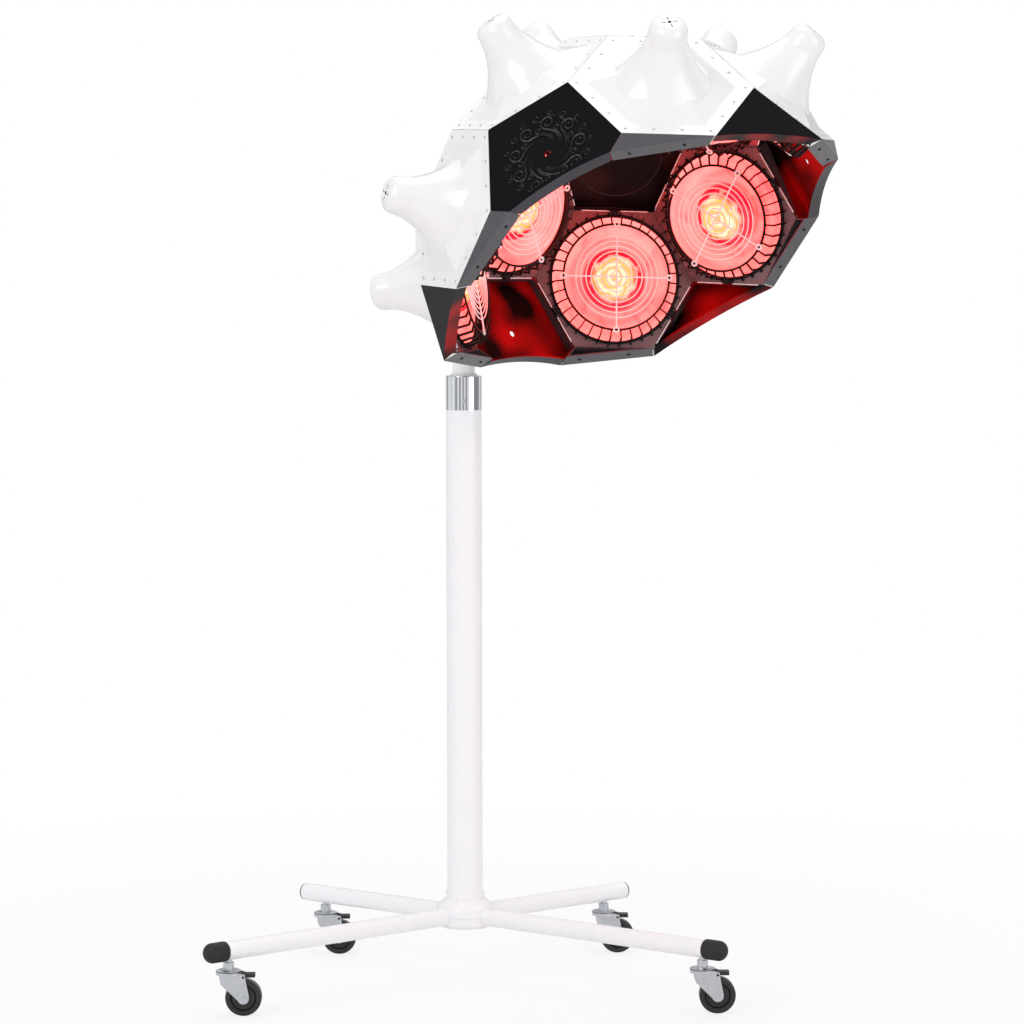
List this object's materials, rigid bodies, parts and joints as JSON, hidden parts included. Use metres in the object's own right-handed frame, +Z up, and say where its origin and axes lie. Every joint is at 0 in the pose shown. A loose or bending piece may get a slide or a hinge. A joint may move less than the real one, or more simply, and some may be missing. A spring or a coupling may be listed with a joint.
{
  "type": "hair color processor",
  "caption": "Free-standing salon hair processor: a tilting faceted hood of heat lamps on a telescopic pole, on a four-legged base with braked casters.",
  "frame": {"origin": "on the floor, under the centre of the pole", "axes": "+Z up along the pole; the two long front legs point towards -Y, mirrored about the YZ plane; the hood leans out towards +X and -Y"},
  "size_m": [0.8659, 0.742, 1.3611],
  "materials": {
    "white_powder_coat": "white powder coat, satin gloss",
    "chrome": "polished",
    "white_nylon": "natural white nylon",
    "zinc_plate": "bright zinc plate",
    "stainless": "satin",
    "black_rubber": "moulded",
    "black_tyre": "moulded, slight sheen",
    "black_plastic": "fine texture",
    "white_gloss_plastic": "gloss",
    "black_gloss_plastic": "gloss",
    "graphite_plastic": "gloss",
    "dark_sheet_metal": "black gloss paint",
    "polished_aluminium": "polished reflector",
    "phenolic": "heat-proof moulding",
    "lamp_glass": "clear, warm",
    "grey_metal": "satin grey paint"
  },
  "bodies": {
    "base": {"hub_lower": "white_powder_coat", "hub_upper": "white_powder_coat", "foot_ring": "white_powder_coat", "leg_front_left": "white_powder_coat", "leg_front_right": "white_powder_coat", "leg_rear_left": "white_powder_coat", "leg_rear_right": "white_powder_coat", "leg_caps_front": "black_rubber", "leg_plugs_rear": "black_rubber", "caster_mounts": "zinc_plate", "pole": "white_powder_coat", "pole_collar": "chrome", "collar_bush": "white_nylon", "stand_screws": "stainless"},
    "caster_front_left": {"caster_fork_front_left": "zinc_plate"},
    "wheel_front_left": {"caster_wheel_front_left": "black_tyre"},
    "brake_front_left": {"caster_brake_front_left": "black_plastic"},
    "caster_front_right": {"caster_fork_front_right": "zinc_plate"},
    "wheel_front_right": {"caster_wheel_front_right": "black_tyre"},
    "brake_front_right": {"caster_brake_front_right": "black_plastic"},
    "caster_rear_left": {"caster_fork_rear_left": "zinc_plate"},
    "wheel_rear_left": {"caster_wheel_rear_left": "black_tyre"},
    "brake_rear_left": {"caster_brake_rear_left": "black_plastic"},
    "caster_rear_right": {"caster_fork_rear_right": "zinc_plate"},
    "wheel_rear_right": {"caster_wheel_rear_right": "black_tyre"},
    "brake_rear_right": {"caster_brake_rear_right": "black_plastic"},
    "lock_knob": {"height_lock_knob": "black_plastic"},
    "mast": {"mast_tube": "white_powder_coat", "mast_guide": "white_nylon", "mast_top_bush": "white_nylon"},
    "head": {"head_yoke": "white_powder_coat", "control_box": "white_gloss_plastic", "control_cover": "white_gloss_plastic", "power_inlet": "black_plastic"},
    "switch": {"power_switch": "black_plastic"},
    "timer": {"timer_knob": "black_plastic"},
    "hood": {"hood_cover_crown": "white_gloss_plastic", "hood_cover_front_left": "white_gloss_plastic", "hood_cover_front_right": "white_gloss_plastic", "hood_cover_upper_left": "white_gloss_plastic", "hood_cover_upper_right": "white_gloss_plastic", "hood_cover_side_left": "white_gloss_plastic", "hood_cover_side_right": "white_gloss_plastic", "hood_cover_rear_left": "white_gloss_plastic", "hood_cover_rear_right": "white_gloss_plastic", "hood_cover_back": "white_gloss_plastic", "panels_upper": "black_gloss_plastic", "panels_side": "black_gloss_plastic", "panels_corner": "black_gloss_plastic", "rim_strips": "graphite_plastic", "inner_plates": "dark_sheet_metal", "reflectors": "polished_aluminium", "lampholders": "phenolic", "heat_lamps": "lamp_glass", "lamp_cages": "black_plastic", "wire_guards": "stainless", "hood_screws": "stainless", "horn_clamp": "grey_metal", "tilt_pins": "stainless"},
    "tilt_knob": {"tilt_knob": "black_plastic"}
  },
  "joints": [
    {"name": "swivel_front_left", "type": "hinge", "parent": "base", "child": "caster_front_left", "pos_m": [-0.32501, -0.26602, 0.0605], "axis": [0, 0, 1], "continuous": true},
    {"name": "roll_front_left", "type": "hinge", "parent": "caster_front_left", "child": "wheel_front_left", "pos_m": [-0.30461, -0.26602, 0.025], "axis": [0, 1, 0], "continuous": true},
    {"name": "brake_press_front_left", "type": "hinge", "parent": "caster_front_left", "child": "brake_front_left", "pos_m": [-0.30471, -0.26602, 0.054], "axis": [0, 1, 0], "range_deg": [0, 12]},
    {"name": "swivel_front_right", "type": "hinge", "parent": "base", "child": "caster_front_right", "pos_m": [0.32501, -0.26602, 0.0605], "axis": [0, 0, 1], "continuous": true},
    {"name": "roll_front_right", "type": "hinge", "parent": "caster_front_right", "child": "wheel_front_right", "pos_m": [0.34541, -0.26602, 0.025], "axis": [0, 1, 0], "continuous": true},
    {"name": "brake_press_front_right", "type": "hinge", "parent": "caster_front_right", "child": "brake_front_right", "pos_m": [0.34531, -0.26602, 0.054], "axis": [0, 1, 0], "range_deg": [0, 12]},
    {"name": "swivel_rear_left", "type": "hinge", "parent": "base", "child": "caster_rear_left", "pos_m": [-0.20781, 0.16589, 0.0605], "axis": [0, 0, 1], "continuous": true},
    {"name": "roll_rear_left", "type": "hinge", "parent": "caster_rear_left", "child": "wheel_rear_left", "pos_m": [-0.18741, 0.16589, 0.025], "axis": [0, 1, 0], "continuous": true},
    {"name": "brake_press_rear_left", "type": "hinge", "parent": "caster_rear_left", "child": "brake_rear_left", "pos_m": [-0.18751, 0.16589, 0.054], "axis": [0, 1, 0], "range_deg": [0, 12]},
    {"name": "swivel_rear_right", "type": "hinge", "parent": "base", "child": "caster_rear_right", "pos_m": [0.20781, 0.16589, 0.0605], "axis": [0, 0, 1], "continuous": true},
    {"name": "roll_rear_right", "type": "hinge", "parent": "caster_rear_right", "child": "wheel_rear_right", "pos_m": [0.22821, 0.16589, 0.025], "axis": [0, 1, 0], "continuous": true},
    {"name": "brake_press_rear_right", "type": "hinge", "parent": "caster_rear_right", "child": "brake_rear_right", "pos_m": [0.22811, 0.16589, 0.054], "axis": [0, 1, 0], "range_deg": [0, 12]},
    {"name": "height_lock_turn", "type": "hinge", "parent": "base", "child": "lock_knob", "pos_m": [0, 0.036, 0.845], "axis": [0, 1, 0], "range_deg": [0, 360]},
    {"name": "mast_slide", "type": "slide", "parent": "base", "child": "mast", "axis": [0, 0, 1], "range_m": [0, 0.35]},
    {"name": "head_swivel", "type": "hinge", "parent": "mast", "child": "head", "pos_m": [0, 0, 1.08], "axis": [0, 0, 1], "range_deg": [-170, 170]},
    {"name": "hood_tilt", "type": "hinge", "parent": "head", "child": "hood", "pos_m": [0.01139, -0.01329, 1.1257], "axis": [-0.7593, -0.6508, 0], "range_deg": [-18, 45]},
    {"name": "tilt_knob_turn", "type": "hinge", "parent": "hood", "child": "tilt_knob", "pos_m": [0.05391, 0.02316, 1.1257], "axis": [0.7593, 0.6508, 0], "range_deg": [0, 360]},
    {"name": "switch_press", "type": "hinge", "parent": "head", "child": "switch", "pos_m": [-0.04035, 0.04707, 1.00212], "axis": [-0.7593, -0.6508, 0], "range_deg": [0, 13]},
    {"name": "timer_turn", "type": "hinge", "parent": "head", "child": "timer", "pos_m": [-0.04555, 0.05315, 1.04268], "axis": [-0.6508, 0.7593, 0], "range_deg": [0, 300]}
  ]
}
